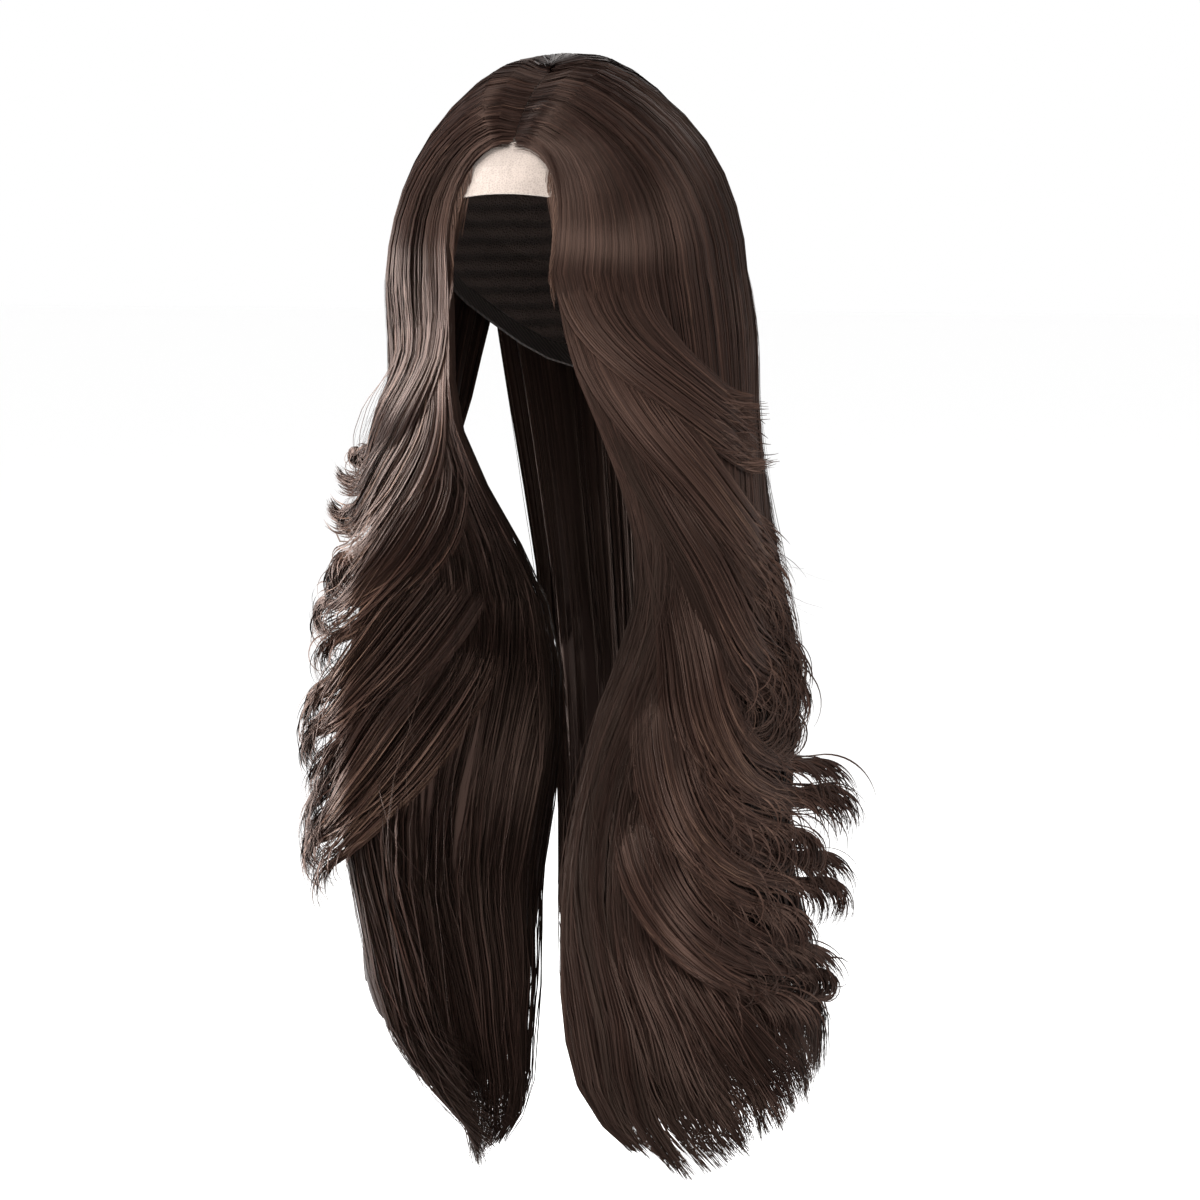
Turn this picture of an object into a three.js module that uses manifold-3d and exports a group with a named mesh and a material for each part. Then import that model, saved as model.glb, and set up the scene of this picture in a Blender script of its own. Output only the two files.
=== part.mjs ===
// A long wavy wig with a middle parting: a net cap with an elastic edge, a lace front that runs back
// under the parting, three masses of hair that start at the parting and the crown, and the shorter
// layers that sweep back from the face and flick out at their ends.
// Millimetres, +Z up, the face towards -Y. The origin is the inside of the crown, where the head sits.
import * as THREE from "three";
import Module from "manifold-3d";
import { mergeVertices } from "three/addons/utils/BufferGeometryUtils.js";

const wasm = await Module();
wasm.setup();

// The head that the cap is made for
const HEAD_HALF_WIDTH = 79;
const HEAD_HALF_LENGTH = 100;
const CROWN_HEIGHT = 105; // from the head's widest level up to the inside of the crown

// The cap and its lace
const CAP_WALL = 1.5;
const BAND_WALL = 2.2;
const BAND_WIDTH = 9;
const LACE_WALL = 1;
const LACE_FRONT_WIDTH = 58; // the bare tab of lace in front of the hairline
const LACE_FRONT_LENGTH = 24; // how far down the forehead that tab reaches
const PARTING_LACE_WIDTH = 12;
const SEAM_GAP = 0.35; // clearance between neighbouring pieces
const LAYER_GAP = 0.7; // the same along each axis, where a layer is trimmed by what lies against it

// The hair
const HAIR_DROP = 588; // from the inside of the crown down to the lowest ends
const HAIR_LIFT = 12; // thickness of the hair where it leaves the head's widest level
const FACET_ROOM = 1.6; // what the flat facets of the hair's inside need to stay clear of the cap
const FALL_DEPTH = 50; // thickness of a front fall where it is fullest
const LAYER_DEPTH = 13; // thickness of a face layer at its middle
const TIP_NOTCH = 0.16; // how far the gaps between a layer's locks run back, as a share of its length
const CROWN_RIDGE = 0.9; // height of the locks on the crown
const FALL_RIDGE = 2.6; // height of the locks on the falls
const LOCK_SWAY = 0.07; // how far the locks wave across a fall, as a share of its width
const WAVES_DOWN_FALL = 1.4; // how many waves fit between the inside of the crown and the ends

// The share of HAIR_DROP at which hair leaves the head's widest level
const CROWN_SHARE = CROWN_HEIGHT / HAIR_DROP;

// Where the cap ends, round the head from the brow (0 degrees) to the nape (180): the height of its
// edge above or below the head's widest level, as a share of CROWN_HEIGHT.
const CAP_EDGE = [
  { angle: 0, height: 0.61 },
  { angle: 28, height: 0.54 },
  { angle: 50, height: 0.3 },
  { angle: 72, height: -0.12 },
  { angle: 92, height: 0.0 },
  { angle: 115, height: -0.2 },
  { angle: 145, height: -0.46 },
  { angle: 180, height: -0.56 },
];

// How hair leaves the parting on one side, from the hairline (place 0) to behind the ear (place 1), on
// a head of radius 1: the root along the parting, the point that the hair passes over, and the angle
// round the head, from the brow, at which it leaves the head's widest level.
const SIDE_FLOW = [
  { place: 0, rootX: 0.015, root: -0.81, overX: 0.4, overY: -0.74, dropAngle: 20 },
  { place: 0.3, rootX: 0.015, root: -0.58, overX: 0.72, overY: -0.45, dropAngle: 56 },
  { place: 0.65, rootX: 0.015, root: -0.32, overX: 0.82, overY: -0.06, dropAngle: 92 },
  { place: 1, rootX: 0.03, root: -0.06, overX: 0.66, overY: 0.46, dropAngle: 130 },
];

// How hair leaves the crown for the back, from one side (place 0) to the other (place 1).
const BACK_FLOW = [
  { place: 0, rootX: 0.03, root: -0.06, overX: 0.66, overY: 0.46, dropAngle: 130 },
  { place: 0.25, rootX: 0.015, root: -0.05, overX: 0.4, overY: 0.66, dropAngle: 155 },
  { place: 0.5, rootX: 0, root: -0.05, overX: 0, overY: 0.76, dropAngle: 180 },
  { place: 0.75, rootX: -0.015, root: -0.05, overX: -0.4, overY: 0.66, dropAngle: 205 },
  { place: 1, rootX: -0.03, root: -0.06, overX: -0.66, overY: 0.46, dropAngle: 230 },
];

// The thickness of each mass on the crown, as a share of HAIR_LIFT, from its roots (reached 0) to the
// head's widest level (reached 1). The wearer's left side lies flatter than the right.
const CROWN_LIFT = [
  { reached: 0, left: 0.66, right: 0.74, back: 0.72 },
  { reached: 0.15, left: 0.5, right: 0.72, back: 0.72 },
  { reached: 0.35, left: 0.46, right: 0.66, back: 0.7 },
  { reached: 0.65, left: 0.76, right: 0.78, back: 0.85 },
  { reached: 1, left: 1, right: 1, back: 1 },
];

// Level sections of the front falls and the back fall. drop is a share of HAIR_DROP. Each section's
// outer line runs from its inner edge through the middle of its bulge to its outer edge: x is a share
// of HEAD_HALF_WIDTH and y of HEAD_HALF_LENGTH. depth is a share of FALL_DEPTH.
const section = (drop, innerX, innerY, bulgeX, bulgeY, outerX, outerY, depth) => ({
  drop, innerX, innerY, bulgeX, bulgeY, outerX, outerY, depth,
});
const RIGHT_SECTIONS = [
  section(0.179, 0.41, -1.02, 1.11, -0.24, 0.89, 0.72, 0.24),
  section(0.244, 0.44, -0.9, 1.16, -0.22, 1.0, 0.64, 0.26),
  section(0.31, 0.48, -0.74, 1.19, -0.24, 1.1, 0.56, 0.32),
  section(0.38, 0.42, -0.44, 1.23, -0.3, 1.24, 0.45, 0.42),
  section(0.45, 0.3, -0.16, 1.26, -0.36, 1.32, 0.34, 0.6),
  section(0.51, 0.24, -0.1, 1.28, -0.42, 1.39, 0.25, 0.78),
  section(0.565, 0.18, -0.12, 1.29, -0.47, 1.43, 0.18, 0.9),
  section(0.64, 0.12, -0.18, 1.26, -0.53, 1.45, 0.12, 1.0),
  section(0.71, 0.15, -0.26, 1.24, -0.56, 1.45, 0.07, 1.0),
  section(0.79, 0.23, -0.32, 1.22, -0.56, 1.44, 0.03, 0.96),
  section(0.86, 0.25, -0.34, 1.18, -0.54, 1.42, 0.0, 0.84),
  section(0.93, 0.18, -0.34, 1.06, -0.5, 1.34, -0.04, 0.6),
  section(0.97, 0.28, -0.36, 0.9, -0.46, 1.14, -0.12, 0.34),
  section(1.0, 0.46, -0.38, 0.7, -0.42, 0.8, -0.26, 0.12),
];
const LEFT_SECTIONS = [
  section(0.179, 0.38, -1.04, 1.11, -0.24, 0.9, 0.72, 0.24),
  section(0.244, 0.5, -1.0, 1.2, -0.26, 1.05, 0.63, 0.26),
  section(0.31, 0.68, -0.92, 1.25, -0.26, 1.11, 0.55, 0.32),
  section(0.38, 0.83, -0.8, 1.3, -0.28, 1.24, 0.45, 0.42),
  section(0.45, 0.86, -0.65, 1.34, -0.32, 1.38, 0.35, 0.6),
  section(0.51, 0.74, -0.55, 1.32, -0.38, 1.47, 0.29, 0.78),
  section(0.565, 0.55, -0.5, 1.25, -0.44, 1.5, 0.22, 0.9),
  section(0.64, 0.33, -0.46, 1.14, -0.52, 1.52, 0.16, 1.0),
  section(0.71, 0.21, -0.44, 1.08, -0.58, 1.58, 0.12, 1.0),
  section(0.79, 0.18, -0.46, 1.1, -0.6, 1.68, 0.1, 0.96),
  section(0.86, 0.18, -0.48, 1.14, -0.6, 1.76, 0.08, 0.84),
  section(0.92, 0.22, -0.48, 1.12, -0.58, 1.72, 0.05, 0.62),
  section(0.965, 0.38, -0.48, 1.04, -0.54, 1.46, -0.02, 0.36),
  section(1.0, 0.66, -0.46, 0.94, -0.5, 1.12, -0.24, 0.12),
];
const BACK_SECTIONS = [
  section(0.179, 0.89, 0.72, 0, 1.13, -0.89, 0.72, 0.24),
  section(0.244, 0.85, 0.8, 0, 1.18, -0.85, 0.8, 0.3),
  section(0.31, 0.8, 0.87, 0, 1.22, -0.8, 0.87, 0.4),
  section(0.38, 0.82, 0.95, 0.02, 1.27, -0.76, 0.96, 0.5),
  section(0.47, 0.86, 1.02, 0.06, 1.33, -0.7, 1.06, 0.54),
  section(0.59, 0.88, 1.1, 0.1, 1.4, -0.64, 1.16, 0.58),
  section(0.71, 0.87, 1.16, 0.12, 1.45, -0.6, 1.22, 0.58),
  section(0.82, 0.85, 1.18, 0.13, 1.47, -0.58, 1.24, 0.5),
  section(0.91, 0.72, 1.2, 0.13, 1.44, -0.46, 1.24, 0.32),
  section(0.96, 0.5, 1.2, 0.12, 1.36, -0.26, 1.22, 0.12),
];

// The face layers of each side, from the shortest down. start and the two ends are shares of
// HAIR_DROP. from and to are places across the front fall, 0 at its inner edge and 1 at its outer
// edge. Past 1 the ends stand clear of it. lift is how far the ends stand off it, and curl how far
// they turn up, both as shares of LAYER_DEPTH.
const layer = (start, fromUpper, fromLower, endUpper, toUpper, endLower, toLower, lift, curl) => ({
  start, fromUpper, fromLower, endUpper, toUpper, endLower, toLower, lift, curl,
});
const RIGHT_LAYERS = [
  layer(0.235, 0.26, 0.0, 0.35, 0.64, 0.405, 0.7, 0.6, 0.8),
  layer(0.285, 0.26, 0.0, 0.395, 0.74, 0.465, 0.72, 0.7, 0.8),
  layer(0.335, 0.28, 0.0, 0.46, 0.78, 0.54, 0.76, 0.7, 0.9),
  layer(0.41, 0.32, 0.03, 0.56, 0.84, 0.645, 0.8, 0.8, 0.9),
  layer(0.5, 0.36, 0.06, 0.65, 0.88, 0.745, 0.8, 0.8, 0.8),
];
const LEFT_LAYERS = [
  layer(0.2, 0.26, 0.0, 0.315, 0.84, 0.38, 0.9, 0.5, 0.6),
  layer(0.26, 0.26, 0.0, 0.42, 0.92, 0.505, 0.96, 0.4, 0.4),
  layer(0.33, 0.26, 0.0, 0.51, 0.97, 0.59, 0.97, 0.4, 0.6),
  layer(0.42, 0.3, 0.02, 0.63, 1.1, 0.705, 1.04, 0.9, 1.0),
  layer(0.52, 0.36, 0.06, 0.71, 1.1, 0.775, 1.02, 0.9, 1.0),
  layer(0.61, 0.42, 0.1, 0.795, 1.1, 0.855, 1.02, 1.1, 1.4),
];

// Grid sizes of the surfaces
const CAP_STEPS = { round: 32, down: 5 };
const SIDE_STEPS = { across: 15, crown: 6 };
const BACK_STEPS = { across: 10, crown: 5 };
const LAYER_STEPS = { across: 6, along: 8 };
const LOCKS_ON_SIDE = 4;
const LOCKS_ON_BACK = 3;
const LOCKS_ON_LAYER = 2;

const DEGREES = Math.PI / 180;
const BODY_AXIS = new THREE.Vector2(0, 0.15 * HEAD_HALF_LENGTH); // what the falls hang round
const mix = (a, b, share) => a + (b - a) * share;
const ease = (share) => {
  const held = Math.min(1, Math.max(0, share));
  return held * held * (3 - 2 * held);
};

// Every named column of a table at a value of its key, on a smooth curve through the rows.
function rowAt(rows, key, value) {
  const last = rows.length - 1;
  let i = 0;
  while (i < last - 1 && value > rows[i + 1][key]) i++;
  const [a, b] = [rows[i], rows[i + 1]];
  const span = b[key] - a[key];
  const t = (value - a[key]) / span;
  const before = rows[Math.max(i - 1, 0)];
  const after = rows[Math.min(i + 2, last)];
  const found = {};
  for (const column of Object.keys(a)) {
    const slopeA = ((b[column] - before[column]) / (b[key] - before[key])) * span;
    const slopeB = ((after[column] - a[column]) / (after[key] - a[key])) * span;
    const [t2, t3] = [t * t, t * t * t];
    found[column] =
      a[column] * (2 * t3 - 3 * t2 + 1) +
      slopeA * (t3 - 2 * t2 + t) +
      b[column] * (3 * t2 - 2 * t3) +
      slopeB * (t3 - t2);
  }
  return found;
}

// A direction on the head of radius 1, on its upper half.
const upward = (x, y) => new THREE.Vector3(x, y, Math.sqrt(Math.max(0, 1 - x * x - y * y)));

function between(a, b, share) {
  const angle = a.angleTo(b);
  if (angle < 1e-6) return a.clone();
  return a
    .clone()
    .multiplyScalar(Math.sin((1 - share) * angle) / Math.sin(angle))
    .addScaledVector(b, Math.sin(share * angle) / Math.sin(angle));
}

// The point over the head in that direction, at a height above the inside of the cap.
const overHead = (direction, height) =>
  new THREE.Vector3(
    direction.x * (HEAD_HALF_WIDTH + height),
    direction.y * (HEAD_HALF_LENGTH + height),
    direction.z * (CROWN_HEIGHT + height) - CROWN_HEIGHT,
  );

// The direction that a strand of the crown has reached, from its root (0) to the widest level (1).
function crownDirection(flow, side, place, reached) {
  const row = rowAt(flow, "place", place);
  const root = upward(side * row.rootX, row.root);
  const over = upward(side * row.overX, row.overY).normalize();
  const turn = row.dropAngle * DEGREES;
  const drop = new THREE.Vector3(side * Math.sin(turn), -Math.cos(turn), 0);
  return between(between(root, over, reached), between(over, drop, reached), reached);
}

// A point of the outer line of a level section.
function fallPoint(sections, side, place, drop) {
  const row = rowAt(sections, "drop", drop);
  const across = (inner, bulge, outer) => {
    const pull = 2 * bulge - (inner + outer) / 2;
    const kept = Math.min(1, Math.max(0, place));
    const on = inner * (1 - kept) ** 2 + 2 * pull * kept * (1 - kept) + outer * kept ** 2;
    const slope = 2 * (outer - pull); // past the outer edge the line runs straight on
    return on + Math.max(0, place - 1) * slope;
  };
  return new THREE.Vector3(
    side * HEAD_HALF_WIDTH * across(row.innerX, row.bulgeX, row.outerX),
    HEAD_HALF_LENGTH * across(row.innerY, row.bulgeY, row.outerY),
    -drop * HAIR_DROP,
  );
}

// Level and outward from what the falls hang round.
const outwardAt = (point) =>
  new THREE.Vector3(point.x - BODY_AXIS.x, point.y - BODY_AXIS.y, 0).normalize();

// A closed solid between an outer and an inner grid of points, [row][column] each. Triangles whose
// corners meet, as at a tip, are left out.
function solidBetween(outer, inner) {
  const rows = outer.length;
  const columns = outer[0].length;
  const points = [...outer.flat(), ...inner.flat()];
  const at = (face, row, column) => face * rows * columns + row * columns + column;
  const positions = new Float32Array(points.flatMap((p) => [p.x, p.y, p.z]));
  const faces = [];
  const quad = (a, b, c, d) => faces.push([a, b, c], [a, c, d]);
  for (let r = 0; r + 1 < rows; r++)
    for (let c = 0; c + 1 < columns; c++) {
      quad(at(0, r, c), at(0, r + 1, c), at(0, r + 1, c + 1), at(0, r, c + 1));
      quad(at(1, r, c), at(1, r, c + 1), at(1, r + 1, c + 1), at(1, r + 1, c));
    }
  for (let r = 0; r + 1 < rows; r++) {
    const end = columns - 1;
    quad(at(0, r, 0), at(1, r, 0), at(1, r + 1, 0), at(0, r + 1, 0));
    quad(at(0, r, end), at(0, r + 1, end), at(1, r + 1, end), at(1, r, end));
  }
  for (let c = 0; c + 1 < columns; c++) {
    const end = rows - 1;
    quad(at(0, 0, c), at(0, 0, c + 1), at(1, 0, c + 1), at(1, 0, c));
    quad(at(0, end, c), at(1, end, c), at(1, end, c + 1), at(0, end, c + 1));
  }
  return manifoldOf(positions, faces);
}

// Merges shared corners, drops triangles that have none, and turns the faces outwards.
function manifoldOf(positions, faces) {
  const loose = new THREE.BufferGeometry();
  loose.setAttribute("position", new THREE.BufferAttribute(positions, 3));
  loose.setIndex(faces.flat());
  const merged = mergeVertices(loose, 1e-3);
  const index = merged.index.array;
  const kept = [];
  for (let i = 0; i < index.length; i += 3) {
    const [a, b, c] = [index[i], index[i + 1], index[i + 2]];
    if (a !== b && b !== c && a !== c) kept.push(a, b, c);
  }
  const vertProperties = merged.attributes.position.array;
  const build = (triVerts) =>
    new wasm.Manifold(new wasm.Mesh({ numProp: 3, vertProperties, triVerts }));
  const made = build(new Uint32Array(kept));
  if (made.volume() >= 0) return made;
  for (let i = 0; i < kept.length; i += 3) [kept[i + 1], kept[i + 2]] = [kept[i + 2], kept[i + 1]];
  return build(new Uint32Array(kept));
}

// A solid with room round it: copies of it shifted both ways along each axis, joined.
function withRoom(solid, room) {
  const shifts = [
    [room, 0, 0],
    [-room, 0, 0],
    [0, room, 0],
    [0, -room, 0],
    [0, 0, room],
    [0, 0, -room],
  ];
  return shifts.reduce((joined, shift) => joined.add(solid.translate(shift)), solid);
}

const largestOf = (solid) => solid.decompose().sort((a, b) => b.volume() - a.volume())[0];

function meshOf(name, solid, material) {
  const data = largestOf(solid).getMesh();
  const positions = new Float32Array(data.numVert * 3);
  for (let i = 0; i < data.numVert; i++)
    positions.set(data.vertProperties.subarray(i * data.numProp, i * data.numProp + 3), i * 3);
  const geometry = new THREE.BufferGeometry();
  geometry.setAttribute("position", new THREE.BufferAttribute(positions, 3));
  geometry.setIndex(new THREE.BufferAttribute(new Uint32Array(data.triVerts), 1));
  geometry.computeVertexNormals();
  const mesh = new THREE.Mesh(geometry, material);
  mesh.name = name;
  return mesh;
}

// The height of the cap's edge at an angle round the head, as a direction on the head of radius 1.
function edgeDirection(angle, share) {
  const turned = Math.abs(((angle + 540) % 360) - 180);
  const edge = Math.acos(rowAt(CAP_EDGE, "angle", turned).height);
  const fall = edge * share;
  const turn = angle * DEGREES;
  return new THREE.Vector3(
    Math.sin(fall) * Math.sin(turn),
    -Math.sin(fall) * Math.cos(turn),
    Math.cos(fall),
  );
}

// A wall that follows the head from one share of the way down to the cap's edge to another. It is
// closed all round the head.
function headWall(fromShare, toShare, low, high, steps) {
  const grids = [high, low].map((height) => {
    const rows = [];
    for (let r = 0; r <= steps.down; r++) {
      const row = [];
      const share = mix(fromShare, toShare, r / steps.down);
      for (let c = 0; c < steps.round; c++)
        row.push(overHead(edgeDirection((360 * c) / steps.round, share), height));
      rows.push(row);
    }
    return rows;
  });
  const columns = steps.round;
  const count = (steps.down + 1) * columns;
  const at = (face, r, c) => face * count + r * columns + (c % columns);
  const positions = new Float32Array(grids.flat(2).flatMap((p) => [p.x, p.y, p.z]));
  const faces = [];
  const quad = (a, b, c, d) => faces.push([a, b, c], [a, c, d]);
  for (let c = 0; c < columns; c++) {
    for (let r = 0; r < steps.down; r++) {
      quad(at(0, r, c), at(0, r + 1, c), at(0, r + 1, c + 1), at(0, r, c + 1));
      quad(at(1, r, c), at(1, r, c + 1), at(1, r + 1, c + 1), at(1, r + 1, c));
    }
    const end = steps.down;
    quad(at(0, end, c), at(1, end, c), at(1, end, c + 1), at(0, end, c + 1));
    if (fromShare > 0) quad(at(0, 0, c), at(0, 0, c + 1), at(1, 0, c + 1), at(1, 0, c));
  }
  return manifoldOf(positions, faces);
}

// An upright block with a flat outline, given as [x, y] corners, that cuts through the crown.
function uprightBlock(corners) {
  const shape = new THREE.Shape(corners.map(([x, y]) => new THREE.Vector2(x, y)));
  const tall = 2 * CROWN_HEIGHT;
  const block = new THREE.ExtrudeGeometry(shape, { depth: tall, bevelEnabled: false });
  block.deleteAttribute("normal");
  block.deleteAttribute("uv");
  block.translate(0, 0, -CROWN_HEIGHT);
  const merged = mergeVertices(block, 1e-4);
  const triVerts = new Uint32Array(merged.index.array);
  const vertProperties = merged.attributes.position.array;
  return new wasm.Manifold(new wasm.Mesh({ numProp: 3, vertProperties, triVerts }));
}

// The lace is one T: a strip under the parting and a tab across the forehead. grow widens it all
// round for the slot that it lies in.
const FOREHEAD_Y = -HEAD_HALF_LENGTH * Math.sqrt(1 - CAP_EDGE[0].height ** 2);
function laceOutline(grow) {
  const strip = PARTING_LACE_WIDTH / 2 + grow;
  const tab = LACE_FRONT_WIDTH / 2 + grow;
  const back = -0.04 * HEAD_HALF_LENGTH + grow;
  const shoulder = FOREHEAD_Y + 0.06 * HEAD_HALF_LENGTH + grow;
  const front = -HEAD_HALF_LENGTH - grow;
  return [
    [-strip, back],
    [-strip, shoulder],
    [-tab, shoulder],
    [-tab, front],
    [tab, front],
    [tab, shoulder],
    [strip, shoulder],
    [strip, back],
  ];
}

function capSolid() {
  const capEnd = 1 - BAND_WIDTH / (1.6 * CROWN_HEIGHT);
  const dome = headWall(0, capEnd, 0, CAP_WALL, CAP_STEPS);
  return dome.subtract(uprightBlock(laceOutline(SEAM_GAP)));
}

// The elastic along the cap's edge, open where the lace takes over at the forehead.
function bandSolid() {
  const capEnd = 1 - BAND_WIDTH / (1.6 * CROWN_HEIGHT) + SEAM_GAP / CROWN_HEIGHT;
  const ring = headWall(capEnd, 1, 0, BAND_WALL, { round: CAP_STEPS.round, down: 1 });
  return ring.subtract(uprightBlock(laceOutline(SEAM_GAP)));
}

function laceSolid() {
  const shell = laceShell();
  return shell.intersect(uprightBlock(laceOutline(0)));
}

// The front of the head down to the lower edge of the lace, as a wall of the lace's thickness.
function laceShell() {
  const steps = { across: 14, down: 8 };
  const lowest = CROWN_HEIGHT * CAP_EDGE[0].height - LACE_FRONT_LENGTH;
  const last = Math.acos(lowest / CROWN_HEIGHT) / DEGREES;
  const halfAngle = 24 * DEGREES;
  const grids = [LACE_WALL, 0].map((height) => {
    const rows = [];
    for (let r = 0; r <= steps.down; r++) {
      const tilt = mix(0, last, r / steps.down) * DEGREES;
      const row = [];
      for (let c = 0; c <= steps.across; c++) {
        const turn = mix(-halfAngle, halfAngle, c / steps.across);
        const direction = new THREE.Vector3(
          Math.sin(turn),
          -Math.cos(turn) * Math.sin(tilt),
          Math.cos(turn) * Math.cos(tilt),
        );
        row.push(overHead(direction, height));
      }
      rows.push(row);
    }
    return rows;
  });
  return solidBetween(grids[0], grids[1]);
}

// The thickness of the hair on the cap, thinner towards the hairline.
function crownThickness(form, place, reached) {
  const lift = rowAt(CROWN_LIFT, "reached", reached)[form.liftColumn];
  const fromFront = form.thinFront ? mix(0.3, 1, ease(place / 0.18)) : 1;
  return HAIR_LIFT * lift * fromFront;
}

const ridge = (place, locks, height) => height * Math.cos(2 * Math.PI * locks * place) - height;

// One mass of hair, from its roots over the head and down its sections.
function hairMass(form) {
  const { flow, sections, side, steps, locks, seams } = form;
  const columns = [...Array(steps.across + 1).keys()].map((c) => c / steps.across);
  const outer = [];
  const inner = [];
  for (let r = 0; r <= steps.crown; r++) {
    const reached = r / steps.crown;
    const directions = columns.map((place) => crownDirection(flow, side, place, reached));
    const low = CAP_WALL + SEAM_GAP + FACET_ROOM;
    outer.push(
      directions.map((direction, c) => {
        const thick = crownThickness(form, columns[c], reached) - FACET_ROOM;
        const lock = ridge(columns[c], locks, CROWN_RIDGE) * ease(reached * 2);
        return overHead(direction, low + thick + lock);
      }),
    );
    inner.push(directions.map((direction) => overHead(direction, low)));
  }
  for (const row of sections.slice(1)) {
    const outerRow = [];
    const innerRow = [];
    for (const place of columns) {
      const point = fallPoint(sections, side, place, row.drop);
      const outward = outwardAt(point);
      const round = 0.35 + 0.65 * Math.sqrt(Math.max(0, 4 * place * (1 - place)));
      const swayed = place + LOCK_SWAY * Math.sin(2 * Math.PI * WAVES_DOWN_FALL * row.drop);
      const lock = ridge(swayed, locks, FALL_RIDGE) * ease((row.drop - CROWN_SHARE) * 5);
      const taper = Math.min(1, row.depth * 2);
      outerRow.push(point.clone().addScaledVector(outward, lock * taper));
      innerRow.push(point.clone().addScaledVector(outward, -FALL_DEPTH * row.depth * round));
    }
    outer.push(outerRow);
    inner.push(innerRow);
  }
  moveEdges(outer, seams, SEAM_GAP);
  moveEdges(inner, seams, SEAM_GAP);
  return solidBetween(outer, inner);
}

// Moves the named edges of a grid inwards, towards its next points, or outwards if by is negative.
function moveEdges(grid, edges, by) {
  const step = (from, to) => to.clone().sub(from).normalize().multiplyScalar(by);
  const bottom = grid.length - 1;
  const end = grid[0].length - 1;
  for (const row of grid) {
    const [first, last] = [step(row[0], row[1]), step(row[end], row[end - 1])];
    if (edges.start) row[0].add(first);
    if (edges.end) row[end].add(last);
  }
  for (let c = 0; c <= end; c++) {
    const first = step(grid[0][c], grid[1][c]);
    const last = step(grid[bottom][c], grid[bottom - 1][c]);
    if (edges.top) grid[0][c].add(first);
    if (edges.bottom) grid[bottom][c].add(last);
  }
}

// One face layer: a band that comes out of a front fall near its inner edge, sweeps back across it and
// stands off it in pointed locks. swell pushes every wall and edge of it outwards.
function layerSolid(side, sections, row, swell = 0) {
  const outer = [];
  const inner = [];
  for (let r = 0; r <= LAYER_STEPS.along; r++) {
    const outerRow = [];
    const innerRow = [];
    for (let c = 0; c <= LAYER_STEPS.across; c++) {
      const across = c / LAYER_STEPS.across;
      const wave = Math.cos(2 * Math.PI * LOCKS_ON_LAYER * across);
      const spread = ease((r / LAYER_STEPS.along - 0.3) / 0.7);
      const reach = 1 - TIP_NOTCH * (0.5 + 0.5 * wave) * spread;
      const along = reach * (r / LAYER_STEPS.along);
      const place = mix(
        mix(row.fromLower, row.fromUpper, across),
        mix(row.toLower, row.toUpper, across),
        along ** 1.7,
      );
      const end = mix(row.endLower, row.endUpper, across);
      const drop = mix(row.start, end, 1 - Math.max(0, 1 - along) ** 1.5);
      const point = fallPoint(sections, side, place, drop);
      const outward = outwardAt(point);
      const rise = along ** 3 * LAYER_DEPTH;
      const round = Math.sqrt(Math.max(0, 4 * across * (1 - across)));
      const full = ease(along / 0.4) * (1 - 0.75 * ease((along - 0.5) / 0.5));
      const thick = LAYER_DEPTH * (0.14 + 0.86 * round * full * (1 - 0.16 * wave * spread));
      const sunk = (1 - ease(along / 0.2)) * 0.6 * LAYER_DEPTH;
      const low = row.lift * rise - sunk;
      point.z += row.curl * rise * along ** 3;
      outerRow.push(point.clone().addScaledVector(outward, low + thick + swell));
      innerRow.push(point.clone().addScaledVector(outward, low - 0.25 * LAYER_DEPTH * full - swell));
    }
    outer.push(outerRow);
    inner.push(innerRow);
  }
  moveEdges(outer, { start: true, end: true, top: true, bottom: true }, -swell);
  moveEdges(inner, { start: true, end: true, top: true, bottom: true }, -swell);
  return solidBetween(outer, inner);
}

const LEFT = 1; // the wearer's left is towards +X
const RIGHT = -1;
const FORMS = {
  hair_left: {
    flow: SIDE_FLOW, sections: LEFT_SECTIONS, side: LEFT, steps: SIDE_STEPS, locks: LOCKS_ON_SIDE,
    liftColumn: "left", thinFront: true, seams: { start: false, end: true },
  },
  hair_right: {
    flow: SIDE_FLOW, sections: RIGHT_SECTIONS, side: RIGHT, steps: SIDE_STEPS, locks: LOCKS_ON_SIDE,
    liftColumn: "right", thinFront: true, seams: { start: false, end: true },
  },
  hair_back: {
    flow: BACK_FLOW, sections: BACK_SECTIONS, side: LEFT, steps: BACK_STEPS, locks: LOCKS_ON_BACK,
    liftColumn: "back", thinFront: false, seams: { start: true, end: true },
  },
};

const fibre = (color) => new THREE.MeshStandardMaterial({ color, roughness: 0.45, metalness: 0 });
const materials = {
  net: new THREE.MeshStandardMaterial({ color: 0x2a211d, roughness: 0.9, metalness: 0 }),
  elastic: new THREE.MeshStandardMaterial({ color: 0x1f1815, roughness: 0.8, metalness: 0 }),
  lace: new THREE.MeshStandardMaterial({ color: 0xdccfc6, roughness: 0.85, metalness: 0 }),
  hair: fibre(0x3b2c28),
  layer: fibre(0x43342f),
};

const wig = new THREE.Group();
wig.add(
  meshOf("cap", capSolid(), materials.net),
  meshOf("edge_band", bandSolid(), materials.elastic),
  meshOf("lace_front", laceSolid(), materials.lace),
);
for (const [name, form] of Object.entries(FORMS))
  wig.add(meshOf(name, hairMass(form), materials.hair));

for (const [word, side, sections, rows] of [
  ["left", LEFT, LEFT_SECTIONS, LEFT_LAYERS],
  ["right", RIGHT, RIGHT_SECTIONS, RIGHT_LAYERS],
]) {
  let taken = withRoom(hairMass(FORMS[`hair_${word}`]), LAYER_GAP);
  rows.forEach((row, i) => {
    const made = layerSolid(side, sections, row).subtract(taken);
    wig.add(meshOf(`face_layer_${word}_${i + 1}`, made, materials.layer));
    taken = taken.add(withRoom(layerSolid(side, sections, row, LAYER_GAP), SEAM_GAP));
  });
}

export default wig;
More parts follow.
